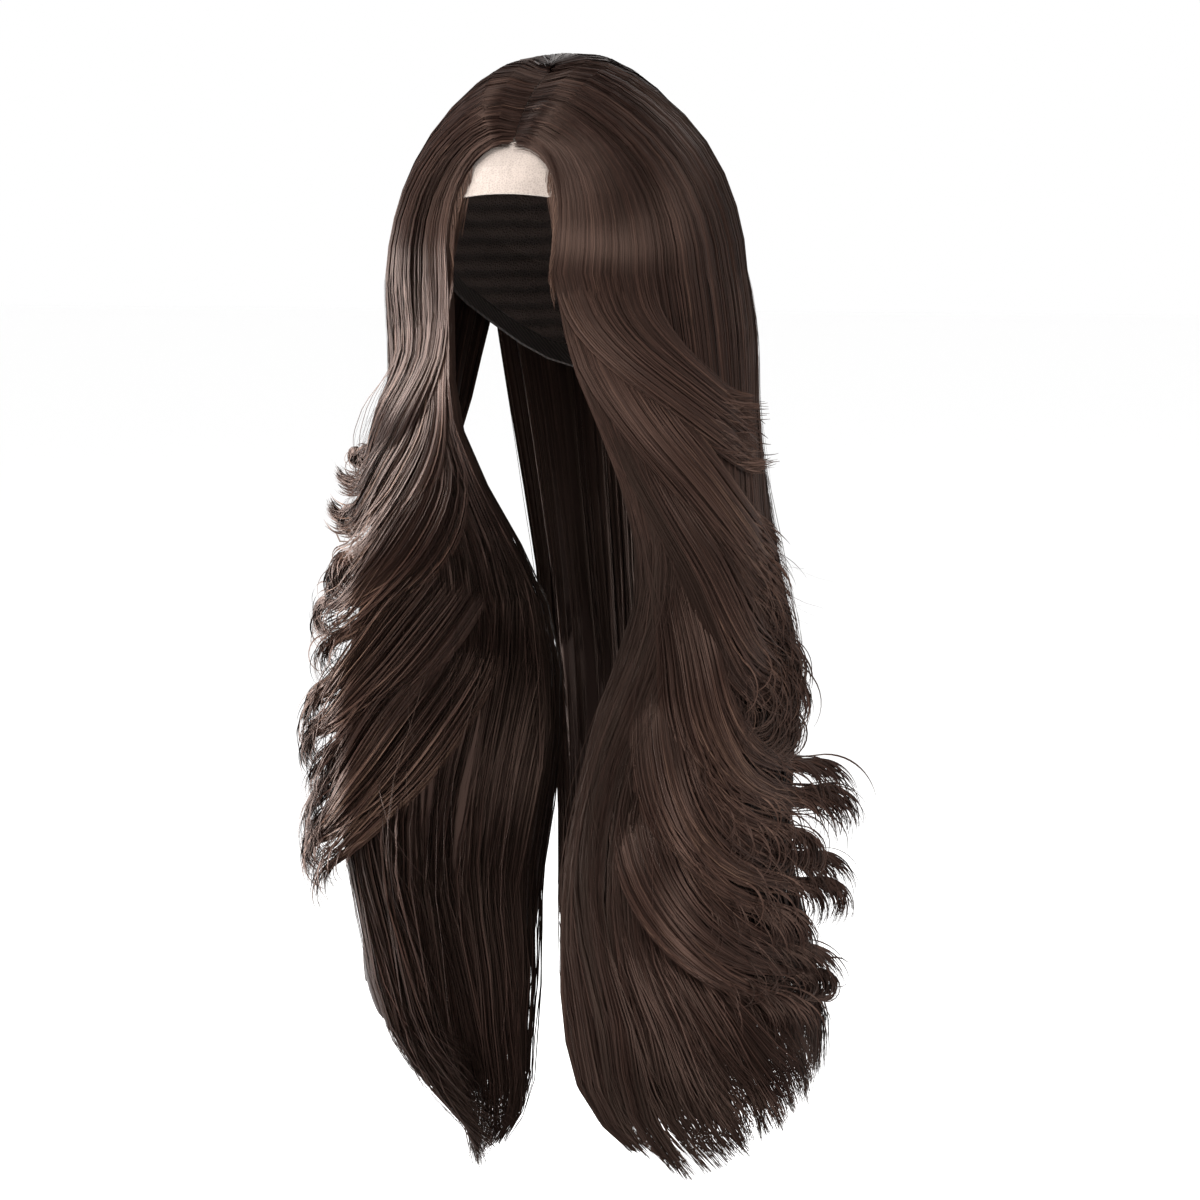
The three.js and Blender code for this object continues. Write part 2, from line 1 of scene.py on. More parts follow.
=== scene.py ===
"""A long dark wavy wig with a middle parting and a lace front, dressed strand by strand over its frame.

Lengths are metres, and the face opening looks towards -Y. The origin is the inside of the crown of the
cap. Left and right are the wearer's.
"""

import math

import bpy
import numpy as np
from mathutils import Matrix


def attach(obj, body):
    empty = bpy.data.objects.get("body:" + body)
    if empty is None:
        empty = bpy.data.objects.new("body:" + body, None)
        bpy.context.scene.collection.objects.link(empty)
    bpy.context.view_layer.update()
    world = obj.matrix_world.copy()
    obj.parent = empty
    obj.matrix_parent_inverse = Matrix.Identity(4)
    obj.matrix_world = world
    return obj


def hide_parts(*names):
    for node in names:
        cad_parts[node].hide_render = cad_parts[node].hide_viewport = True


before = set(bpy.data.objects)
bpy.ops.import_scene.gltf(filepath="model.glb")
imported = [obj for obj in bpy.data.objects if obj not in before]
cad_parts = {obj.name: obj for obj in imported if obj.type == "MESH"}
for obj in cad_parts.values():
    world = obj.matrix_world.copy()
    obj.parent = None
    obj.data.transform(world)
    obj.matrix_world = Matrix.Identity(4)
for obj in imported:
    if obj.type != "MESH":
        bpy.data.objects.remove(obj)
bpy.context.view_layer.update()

# The inside of the cap, from its crown to its widest level
HALF_WIDTH = 0.079
HALF_LENGTH = 0.100
CROWN_HEIGHT = 0.105

# The hair: how far it hangs below the crown, its thickness over the cap, and that of a fall and a layer
HAIR_DROP = 0.588
HAIR_LIFT = 0.012
HAIR_CLEAR = 0.0019  # the hair lies this far over the inside of the cap: its wall and a small gap
FALL_DEPTH = 0.050
LAYER_DEPTH = 0.013
CROWN_SHARE = CROWN_HEIGHT / HAIR_DROP  # where the crown ends and the fall begins
BODY_AXIS = np.array([0.0, 0.15 * HALF_LENGTH])
LEFT = 1  # the wearer's left is towards +X
RIGHT = -1

# How hair leaves the parting: place, root x, root y, the point passed over (x, y), and the angle round
# the cap at which it leaves the widest level. All on a cap of radius 1.
SIDE_FLOW = np.array([
    (0.00, 0.015, -0.81, 0.40, -0.74, 20),
    (0.30, 0.015, -0.58, 0.72, -0.45, 56),
    (0.65, 0.015, -0.32, 0.82, -0.06, 92),
    (1.00, 0.030, -0.06, 0.66, 0.46, 130),
])
BACK_FLOW = np.array([
    (0.00, 0.030, -0.06, 0.66, 0.46, 130),
    (0.25, 0.015, -0.05, 0.40, 0.66, 155),
    (0.50, 0.000, -0.05, 0.00, 0.76, 180),
    (0.75, -0.015, -0.05, -0.40, 0.66, 205),
    (1.00, -0.030, -0.06, -0.66, 0.46, 230),
])

# Thickness on the crown as a share of HAIR_LIFT: reached, left, right, back
CROWN_LIFT = np.array([
    (0.00, 0.66, 0.74, 0.72),
    (0.15, 0.50, 0.72, 0.72),
    (0.35, 0.46, 0.66, 0.70),
    (0.65, 0.76, 0.78, 0.85),
    (1.00, 1.00, 1.00, 1.00),
])

# Level sections of each fall: drop, inner x, inner y, bulge x, bulge y, outer x, outer y, depth
RIGHT_SECTIONS = np.array([
    (0.179, 0.41, -1.02, 1.11, -0.24, 0.89, 0.72, 0.24),
    (0.244, 0.44, -0.90, 1.16, -0.22, 1.00, 0.64, 0.26),
    (0.310, 0.48, -0.74, 1.19, -0.24, 1.10, 0.56, 0.32),
    (0.380, 0.42, -0.44, 1.23, -0.30, 1.24, 0.45, 0.42),
    (0.450, 0.30, -0.16, 1.26, -0.36, 1.32, 0.34, 0.60),
    (0.510, 0.24, -0.10, 1.28, -0.42, 1.39, 0.25, 0.78),
    (0.565, 0.18, -0.12, 1.29, -0.47, 1.43, 0.18, 0.90),
    (0.640, 0.12, -0.18, 1.26, -0.53, 1.45, 0.12, 1.00),
    (0.710, 0.15, -0.26, 1.24, -0.56, 1.45, 0.07, 1.00),
    (0.790, 0.23, -0.32, 1.22, -0.56, 1.44, 0.03, 0.96),
    (0.860, 0.25, -0.34, 1.18, -0.54, 1.42, 0.00, 0.84),
    (0.930, 0.18, -0.34, 1.06, -0.50, 1.34, -0.04, 0.60),
    (0.970, 0.28, -0.36, 0.90, -0.46, 1.14, -0.12, 0.34),
    (1.000, 0.46, -0.38, 0.70, -0.42, 0.80, -0.26, 0.12),
])
LEFT_SECTIONS = np.array([
    (0.179, 0.38, -1.04, 1.11, -0.24, 0.90, 0.72, 0.24),
    (0.244, 0.50, -1.00, 1.20, -0.26, 1.05, 0.63, 0.26),
    (0.310, 0.68, -0.92, 1.25, -0.26, 1.11, 0.55, 0.32),
    (0.380, 0.83, -0.80, 1.30, -0.28, 1.24, 0.45, 0.42),
    (0.450, 0.86, -0.65, 1.34, -0.32, 1.38, 0.35, 0.60),
    (0.510, 0.74, -0.55, 1.32, -0.38, 1.47, 0.29, 0.78),
    (0.565, 0.55, -0.50, 1.25, -0.44, 1.50, 0.22, 0.90),
    (0.640, 0.33, -0.46, 1.14, -0.52, 1.52, 0.16, 1.00),
    (0.710, 0.21, -0.44, 1.08, -0.58, 1.58, 0.12, 1.00),
    (0.790, 0.18, -0.46, 1.10, -0.60, 1.68, 0.10, 0.96),
    (0.860, 0.18, -0.48, 1.14, -0.60, 1.76, 0.08, 0.84),
    (0.920, 0.22, -0.48, 1.12, -0.58, 1.72, 0.05, 0.62),
    (0.965, 0.38, -0.48, 1.04, -0.54, 1.46, -0.02, 0.36),
    (1.000, 0.66, -0.46, 0.94, -0.50, 1.12, -0.24, 0.12),
])
BACK_SECTIONS = np.array([
    (0.179, 0.89, 0.72, 0.00, 1.13, -0.89, 0.72, 0.24),
    (0.244, 0.85, 0.80, 0.00, 1.18, -0.85, 0.80, 0.30),
    (0.310, 0.80, 0.87, 0.00, 1.22, -0.80, 0.87, 0.40),
    (0.380, 0.82, 0.95, 0.02, 1.27, -0.76, 0.96, 0.50),
    (0.470, 0.86, 1.02, 0.06, 1.33, -0.70, 1.06, 0.54),
    (0.590, 0.88, 1.10, 0.10, 1.40, -0.64, 1.16, 0.58),
    (0.710, 0.87, 1.16, 0.12, 1.45, -0.60, 1.22, 0.58),
    (0.820, 0.85, 1.18, 0.13, 1.47, -0.58, 1.24, 0.50),
    (0.910, 0.72, 1.20, 0.13, 1.44, -0.46, 1.24, 0.32),
    (0.960, 0.50, 1.20, 0.12, 1.36, -0.26, 1.22, 0.12),
])

# The face layers: start, from upper, from lower, end upper, to upper, end lower, to lower, lift, curl
RIGHT_LAYERS = (
    (0.235, 0.26, 0.00, 0.350, 0.64, 0.405, 0.70, 0.6, 0.8),
    (0.285, 0.26, 0.00, 0.395, 0.74, 0.465, 0.72, 0.7, 0.8),
    (0.335, 0.28, 0.00, 0.460, 0.78, 0.540, 0.76, 0.7, 0.9),
    (0.410, 0.32, 0.03, 0.560, 0.84, 0.645, 0.80, 0.8, 0.9),
    (0.500, 0.36, 0.06, 0.650, 0.88, 0.745, 0.80, 0.8, 0.8),
)
LEFT_LAYERS = (
    (0.200, 0.26, 0.00, 0.315, 0.84, 0.380, 0.90, 0.5, 0.6),
    (0.260, 0.26, 0.00, 0.420, 0.92, 0.505, 0.96, 0.4, 0.4),
    (0.330, 0.26, 0.00, 0.510, 0.97, 0.590, 0.97, 0.4, 0.6),
    (0.420, 0.30, 0.02, 0.630, 1.10, 0.705, 1.04, 0.9, 1.0),
    (0.520, 0.36, 0.06, 0.710, 1.10, 0.775, 1.02, 0.9, 1.0),
    (0.610, 0.42, 0.10, 0.795, 1.10, 0.855, 1.02, 1.1, 1.4),
)

# How far the strands drift across their fall as they go down it: drop, left, right, back. Plus is
# towards the fall's outer edge.
DRIFT = np.array([
    (0.18, 0.00, 0.00, 0.00),
    (0.45, 0.00, 0.02, 0.00),
    (0.62, -0.05, 0.09, 0.02),
    (0.74, 0.00, 0.11, 0.03),
    (0.85, 0.08, 0.05, 0.00),
    (0.93, 0.05, 0.02, -0.03),
    (1.00, 0.00, 0.00, 0.00),
])

# The locks that the face layers end in: layer, place across it (0 lower, 1 upper), reach along it,
# radius of the curl in millimetres, turn of the curl in degrees (minus turns up), share of the layer's
# strands, and how loosely they are gathered
RIGHT_TIPS = (
    (1, 0.86, 0.98, 5, 320, 3, 0.0),
    (1, 0.30, 1.00, 12, -45, 3, 0.1),
    (2, 0.80, 0.90, 8, 200, 3, 0.1),
    (2, 0.55, 1.06, 16, -40, 2, 0.0),
    (2, 0.12, 0.90, 10, 150, 2, 0.4),
    (3, 0.88, 0.92, 9, 170, 2, 0.3),
    (3, 0.50, 1.00, 10, 165, 6, 0.0),
    (3, 0.10, 0.86, 14, 110, 2, 0.4),
    (4, 0.80, 0.86, 18, 90, 3, 0.4),
    (4, 0.40, 0.92, 14, 120, 4, 0.2),
    (4, 0.05, 0.84, 18, 90, 2, 0.4),
    (5, 0.80, 0.82, 20, 90, 3, 0.5),
    (5, 0.45, 0.89, 15, 120, 4, 0.3),
    (5, 0.10, 0.82, 18, 90, 2, 0.4),
)
LEFT_TIPS = (
    (1, 0.80, 0.62, 26, -20, 3, 0.8),
    (1, 0.45, 0.68, 26, 15, 3, 0.8),
    (1, 0.06, 0.76, 18, -30, 1, 0.6),
    (2, 0.85, 0.76, 24, 20, 3, 0.7),
    (2, 0.45, 0.80, 22, 40, 3, 0.6),
    (2, 0.10, 0.84, 18, 60, 3, 0.5),
    (3, 0.88, 0.86, 18, 110, 2, 0.4),
    (3, 0.50, 0.88, 18, 110, 3, 0.3),
    (3, 0.12, 0.90, 14, 150, 3, 0.2),
    (4, 0.90, 0.94, 22, 70, 2, 0.3),
    (4, 0.50, 0.98, 18, 90, 3, 0.25),
    (4, 0.10, 0.92, 14, 130, 2, 0.2),
    (5, 0.85, 0.92, 22, 70, 3, 0.2),
    (5, 0.50, 0.94, 16, 110, 4, 0.1),
    (5, 0.12, 0.88, 20, 80, 3, 0.2),
    (6, 0.85, 0.84, 24, 60, 3, 0.2),
    (6, 0.50, 0.90, 9, 260, 2, 0.0),
    (6, 0.10, 0.84, 20, 70, 3, 0.2),
)

# Strands are drawn as ribbons about eleven times as wide as the real 0.08 mm fibre, which is too fine to
# show at the size of the picture
STRAND_WIDTH = 0.0009
FINE_WIDTH = 0.00032

# The loose waves of the falls: their height, how many there are down the length of the hair, and how far
# across a fall they slant
WAVE_HEIGHT = 0.0046
WAVES = 3.3
WAVE_SLANT = 0.4

# How far along its crown each sample of a strand is
CROWN_SAMPLES = np.array([0.0, 0.04, 0.09, 0.16, 0.25, 0.35, 0.46, 0.57, 0.68, 0.79, 0.9, 1.0])


def ease(x):
    x = np.clip(x, 0.0, 1.0)
    return x * x * (3 - 2 * x)


def mix(a, b, share):
    return a + (b - a) * share


def unit(v):
    return v / np.maximum(np.linalg.norm(v, axis=-1, keepdims=True), 1e-9)


def rows_at(table, keys):
    """Every column of a table at each key, on a smooth curve through its rows."""
    key = table[:, 0]
    i = np.clip(np.searchsorted(key, keys, side="right") - 1, 0, len(key) - 2)
    slopes = np.empty_like(table, dtype=float)
    slopes[1:-1] = (table[2:] - table[:-2]) / (key[2:] - key[:-2])[:, None]
    slopes[0] = (table[1] - table[0]) / (key[1] - key[0])
    slopes[-1] = (table[-1] - table[-2]) / (key[-1] - key[-2])
    span = (key[i + 1] - key[i])[..., None]
    t = np.clip((keys - key[i]) / (key[i + 1] - key[i]), 0.0, 1.1)[..., None]
    t2, t3 = t * t, t * t * t
    return (
        table[i] * (2 * t3 - 3 * t2 + 1)
        + slopes[i] * span * (t3 - 2 * t2 + t)
        + table[i + 1] * (3 * t2 - 2 * t3)
        + slopes[i + 1] * span * (t3 - t2)
    )


def upward(x, y):
    return np.stack([x, y, np.sqrt(np.maximum(0.0, 1 - x * x - y * y))], axis=-1)


def between(a, b, share):
    """Turns direction a towards direction b."""
    angle = np.arccos(np.clip((a * b).sum(-1, keepdims=True), -1, 1))
    angle = np.maximum(angle, 1e-5)
    share = share[..., None]
    return (np.sin((1 - share) * angle) * a + np.sin(share * angle) * b) / np.sin(angle)


def over_cap(direction, height):
    size = np.stack([HALF_WIDTH + height, HALF_LENGTH + height, CROWN_HEIGHT + height], axis=-1)
    return direction * size - np.array([0, 0, CROWN_HEIGHT])


def crown_direction(form, place, reached, root_x=0.0, root_y=0.0):
    row = rows_at(form["flow"], place)
    side = form["side"]
    root = unit(upward(side * (row[..., 1] + root_x), row[..., 2] + root_y))
    over = unit(upward(side * row[..., 3], row[..., 4]))
    turn = np.radians(row[..., 5])
    drop = np.stack([side * np.sin(turn), -np.cos(turn), 0 * turn], axis=-1)
    return between(between(root, over, reached), between(over, drop, reached), reached)


def crown_thickness(form, place, reached):
    lifts = rows_at(CROWN_LIFT, reached)
    lift = lifts[..., form["column"]]
    if not form["thin_front"]:
        # The back meets each side at that side's own thickness
        lift = mix(lifts[..., 1], lift, ease(place / 0.16))
        lift = mix(lifts[..., 2], lift, ease((1 - place) / 0.16))
    front = mix(0.3, 1.0, ease(place / 0.18)) if form["thin_front"] else 1.0
    return HAIR_LIFT * lift * front


def fall_point(form, place, drop):
    """A point of the outer line of a level section. Past its edges the line runs straight on."""
    row = rows_at(form["sections"], np.minimum(drop, 0.98))
    kept = np.clip(place, 0.0, 1.0)
    line = []
    for inner, bulge, outer in ((row[..., 1], row[..., 3], row[..., 5]),
                                (row[..., 2], row[..., 4], row[..., 6])):
        pull = 2 * bulge - (inner + outer) / 2
        on = inner * (1 - kept) ** 2 + 2 * pull * kept * (1 - kept) + outer * kept**2
        past = np.maximum(0, place - 1) * 2 * (outer - pull)
        before = np.minimum(0, place) * 2 * (pull - inner)
        line.append(on + past + before)
    return np.stack([
        form["side"] * HALF_WIDTH * line[0],
        HALF_LENGTH * line[1],
        -drop * HAIR_DROP,
    ], axis=-1)


def fall_depth(form, place, drop):
    row = rows_at(form["sections"], np.minimum(drop, 1.0))
    kept = np.clip(place, 0.0, 1.0)
    return FALL_DEPTH * row[..., 7] * (0.35 + 0.65 * np.sqrt(4 * kept * (1 - kept)))


def wave_growth(drop):
    """The waves start a quarter of the way down and are full from two thirds of the way down."""
    return ease((drop - 0.28) / 0.4)


def loose_wave(place, drop):
    return WAVE_HEIGHT * np.sin(2 * math.pi * (drop * WAVES + WAVE_SLANT * place))


def outward_at(point):
    flat = point[..., :2] - BODY_AXIS
    return unit(np.concatenate([flat, 0 * flat[..., :1]], axis=-1))


def mass_point(form, place, drop, depth, wave):
    """A point in a mass of hair below the cap's widest level, depth 0 on its outer line."""
    point = fall_point(form, place, drop)
    outward = outward_at(point)
    full = np.ones_like(place)
    edge = over_cap(crown_direction(form, place, full), HAIR_CLEAR + crown_thickness(form, place, full))
    first = fall_point(form, place, np.full_like(place, CROWN_SHARE))
    join = 1 - ease((drop - CROWN_SHARE) / 0.11)
    point[..., :2] += (edge - first)[..., :2] * join[..., None]
    inwards = fall_depth(form, place, drop) * depth
    return point + outward * (wave - inwards)[..., None], outward


FORMS = {
    "left": dict(flow=SIDE_FLOW, sections=LEFT_SECTIONS, side=LEFT, column=1, thin_front=True),
    "right": dict(flow=SIDE_FLOW, sections=RIGHT_SECTIONS, side=RIGHT, column=2, thin_front=True),
    "back": dict(flow=BACK_FLOW, sections=BACK_SECTIONS, side=LEFT, column=3, thin_front=False),
}


def linear(hex_colour):
    """An sRGB hex colour as the linear RGBA that a socket takes."""
    parts = [int(hex_colour[i : i + 2], 16) / 255 for i in (1, 3, 5)]
    return (*[p / 12.92 if p <= 0.04045 else ((p + 0.055) / 1.055) ** 2.4 for p in parts], 1.0)


def add_node(material, kind, settings=None, links=None):
    """Adds a node. settings go on its properties or sockets, links join its inputs to other sockets."""
    tree = material.node_tree
    made = tree.nodes.new(kind)
    for name, value in (settings or {}).items():
        if isinstance(name, str) and hasattr(made, name):
            setattr(made, name, value)
        else:
            made.inputs[name].default_value = value
    for name, socket in (links or {}).items():
        tree.links.new(socket, made.inputs[name])
    return made


def new_material(name):
    material = bpy.data.materials.new(name)
    material.use_nodes = True
    material.node_tree.nodes.clear()
    return material


def finish_material(material, shader):
    add_node(material, "ShaderNodeOutputMaterial", links={"Surface": shader.outputs[0]})
    return material


def colour_ramp(material, fac, stops):
    """A ramp through (position, hex colour) stops."""
    ramp = add_node(material, "ShaderNodeValToRGB", links={"Fac": fac})
    elements = ramp.color_ramp.elements
    while len(elements) < len(stops):
        elements.new(0.5)
    for element, (position, colour) in zip(elements, stops):
        element.position = position
        element.color = linear(colour)
    return ramp


def silky_fibre(name, stops, roughness):
    """Extruded heat-resistant fibre with a silky finish. Sheen runs in bands across the strands, and
    each strand, and each lock, is a little lighter or darker than the next."""
    material = new_material(name)
    tone = add_node(material, "ShaderNodeAttribute", {"attribute_name": "tone"})
    strand = add_node(material, "ShaderNodeUVMap", {"uv_map": "strand"})
    # Five fibres show across each ribbon, and each holds its shade for about 30 mm
    stretch = add_node(
        material, "ShaderNodeMapping", {"Scale": (5.0, 30.0, 1.0)}, {"Vector": strand.outputs["UV"]}
    )
    fibres = add_node(
        material, "ShaderNodeTexNoise", {"Scale": 1.0, "Detail": 1.0}, {"Vector": stretch.outputs["Vector"]}
    )
    shade = add_node(
        material,
        "ShaderNodeMath",
        {"operation": "MULTIPLY_ADD", 1: 1.1, 2: -0.55},
        {0: fibres.outputs["Fac"]},
    )
    total = add_node(
        material,
        "ShaderNodeMath",
        {"operation": "ADD"},
        {0: tone.outputs["Fac"], 1: shade.outputs["Value"]},
    )
    ramp = colour_ramp(material, total.outputs["Value"], stops)
    tangent = add_node(material, "ShaderNodeTangent", {"direction_type": "UV_MAP", "uv_map": "strand"})
    shader = add_node(
        material,
        "ShaderNodeBsdfPrincipled",
        {"Roughness": roughness, "IOR": 1.5, "Anisotropic": 0.95, "Specular IOR Level": 0.22,
         "Specular Tint": linear("#ffd4bf")},
        {"Base Color": ramp.outputs["Color"], "Tangent": tangent.outputs["Tangent"]},
    )
    return finish_material(material, shader)


def strand_arrays(paths, outward, width, roll, tone):
    """Ribbons as arrays of points, faces, tones, UVs and normals. paths and outward are
    [strand, point, xyz], tone is [strand, point], width and roll are [strand]."""
    along = unit(np.gradient(paths, axis=1))
    across = unit(np.cross(along, outward))
    normal = np.cross(across, along)
    # Round the cap's widest level the light falls as on hair that hangs straight down
    steady = 0.85 * np.exp(-(((-paths[..., 2:] / HAIR_DROP - 0.22) / 0.09) ** 2))
    normal = unit(mix(normal, outward, steady))
    side = across * np.cos(roll)[:, None, None] + normal * np.sin(roll)[:, None, None]
    face = normal * np.cos(roll)[:, None, None] - across * np.sin(roll)[:, None, None]
    strands, count = paths.shape[:2]
    share = np.linspace(0, 1, count)
    taper = np.minimum(1.0, 0.22 + 5 * (1 - share)) * np.minimum(1.0, 0.5 + 8 * share)
    half = side * (width[:, None, None] / 2 * taper[None, :, None])
    points = np.stack([paths - half, paths + half], axis=2).reshape(-1, 3)
    # Light falls on the ribbons as on one smooth surface, each a little round across
    soft = 0.82 * normal + 0.18 * face
    normals = unit(np.stack([soft - 0.3 * side, soft + 0.3 * side], axis=2)).reshape(-1, 3)
    first = (np.arange(strands)[:, None] * count + np.arange(count - 1)[None, :]).ravel() * 2
    faces = np.stack([first, first + 1, first + 3, first + 2], axis=1)
    tones = np.repeat(tone.ravel(), 2)
    run = np.cumsum(np.linalg.norm(np.diff(paths, axis=1, prepend=paths[:, :1]), axis=2), axis=1)
    number = 1.7 * np.arange(strands)
    u = (number[:, None, None] + np.array([0.0, 1.0])[None, None, :]) * np.ones((1, count, 1))
    v = np.repeat(run[:, :, None], 2, axis=2)
    uv = np.stack([u, v], axis=3).reshape(-1, 2)
    return points, faces, tones, uv, normals


def joined(parts):
    """Joins the arrays of several groups of ribbons into one set."""
    starts = np.cumsum([0] + [len(part[0]) for part in parts[:-1]])
    faces = np.concatenate([part[1] + start for part, start in zip(parts, starts)])
    points, tones, uv, normals = (np.concatenate([part[i] for part in parts]) for i in (0, 2, 3, 4))
    return points, faces, tones, uv, normals


def new_mesh(name, material, points, faces, tones=None, uv=None, normals=None):
    """Makes an object from arrays of points and of quads."""
    mesh = bpy.data.meshes.new(name)
    corners = faces.shape[1]
    mesh.vertices.add(len(points))
    mesh.vertices.foreach_set("co", np.ascontiguousarray(points, dtype=np.float32).ravel())
    mesh.loops.add(faces.size)
    mesh.loops.foreach_set("vertex_index", np.ascontiguousarray(faces, dtype=np.int32).ravel())
    mesh.polygons.add(len(faces))
    mesh.polygons.foreach_set("loop_start", np.arange(0, faces.size, corners, dtype=np.int32))
    mesh.update(calc_edges=True)
    mesh.polygons.foreach_set("use_smooth", np.full(len(faces), True))
    if tones is not None:
        layer = mesh.attributes.new("tone", "FLOAT", "POINT")
        layer.data.foreach_set("value", np.ascontiguousarray(tones, dtype=np.float32).ravel())
    if uv is not None:
        layer = mesh.uv_layers.new(name="strand")
        layer.data.foreach_set("uv", np.ascontiguousarray(uv[faces.ravel()], dtype=np.float32).ravel())
    if normals is not None:
        mesh.normals_split_custom_set_from_vertices(normals.tolist())
    made = bpy.data.objects.new(name, mesh)
    bpy.context.scene.collection.objects.link(made)
    made.data.materials.append(material)
    return made


def crown_path(form, place, depth, root_x, root_y):
    """From the root beside the parting to the cap's widest level."""
    count = len(place)
    reached = np.broadcast_to(CROWN_SAMPLES, (count, len(CROWN_SAMPLES)))
    wide = np.broadcast_to(place[:, None], reached.shape)
    direction = crown_direction(form, wide, reached, root_x[:, None], root_y[:, None])
    low = 0.06 + 0.5 * ease((place - 0.72) / 0.2) if form["thin_front"] else np.full(count, 0.56)
    rise = mix(low[:, None], 1.0, ease(reached / 0.14))
    thick = crown_thickness(form, wide, reached) * (1 - depth[:, None])
    points = over_cap(direction, HAIR_CLEAR + thick * rise)
    outward = unit(direction / np.array([HALF_WIDTH, HALF_LENGTH, CROWN_HEIGHT]))
    return points, outward


def turned_from(crown_out, fall_out, drop):
    """The way out of the hair below the crown, which carries on smoothly from the crown's."""
    share = ease((drop - CROWN_SHARE) / 0.14)[..., None]
    return unit(mix(crown_out[:, -1:], fall_out, share))


def root_offsets(random, place, at_whorl):
    """Roots vary a little: most meet over the parting, and those at its back end are spread out."""
    count = len(place)
    far = ease((place - 0.7) / 0.3) if at_whorl == "behind" else np.ones(count)
    x = -0.014 * (random.random(count) < 0.8) + np.abs(random.normal(0, 0.02, count))
    x = np.where(far > 0.5, random.normal(0, 0.02, count), x)
    y = random.normal(0, 0.02, count) * (1 + 1.5 * far) - (0.05 if at_whorl == "all round" else 0.0)
    # The first hairs stand back from the edge of the lace
    y = y + 0.07 * (1 - ease(place / 0.25)) * (at_whorl == "behind")
    return x, y


def lock_of(random, place, lock_count):
    """The lock that each strand belongs to, and that lock's own middle place."""
    middles = (np.arange(lock_count) + 0.2 + 0.6 * random.random(lock_count)) / lock_count
    lock = np.abs(place[:, None] - middles[None, :]).argmin(axis=1)
    return lock, middles[lock]


def end_turn(form, place):
    """How much of the turn towards the wearer's left the ends at a place take."""
    if form["side"] == LEFT:
        return mix(-0.1, 1.0, ease((1 - place) / 0.6)) * mix(0.3, 1.0, ease(place / 0.35))
    return ease(place / 0.5)


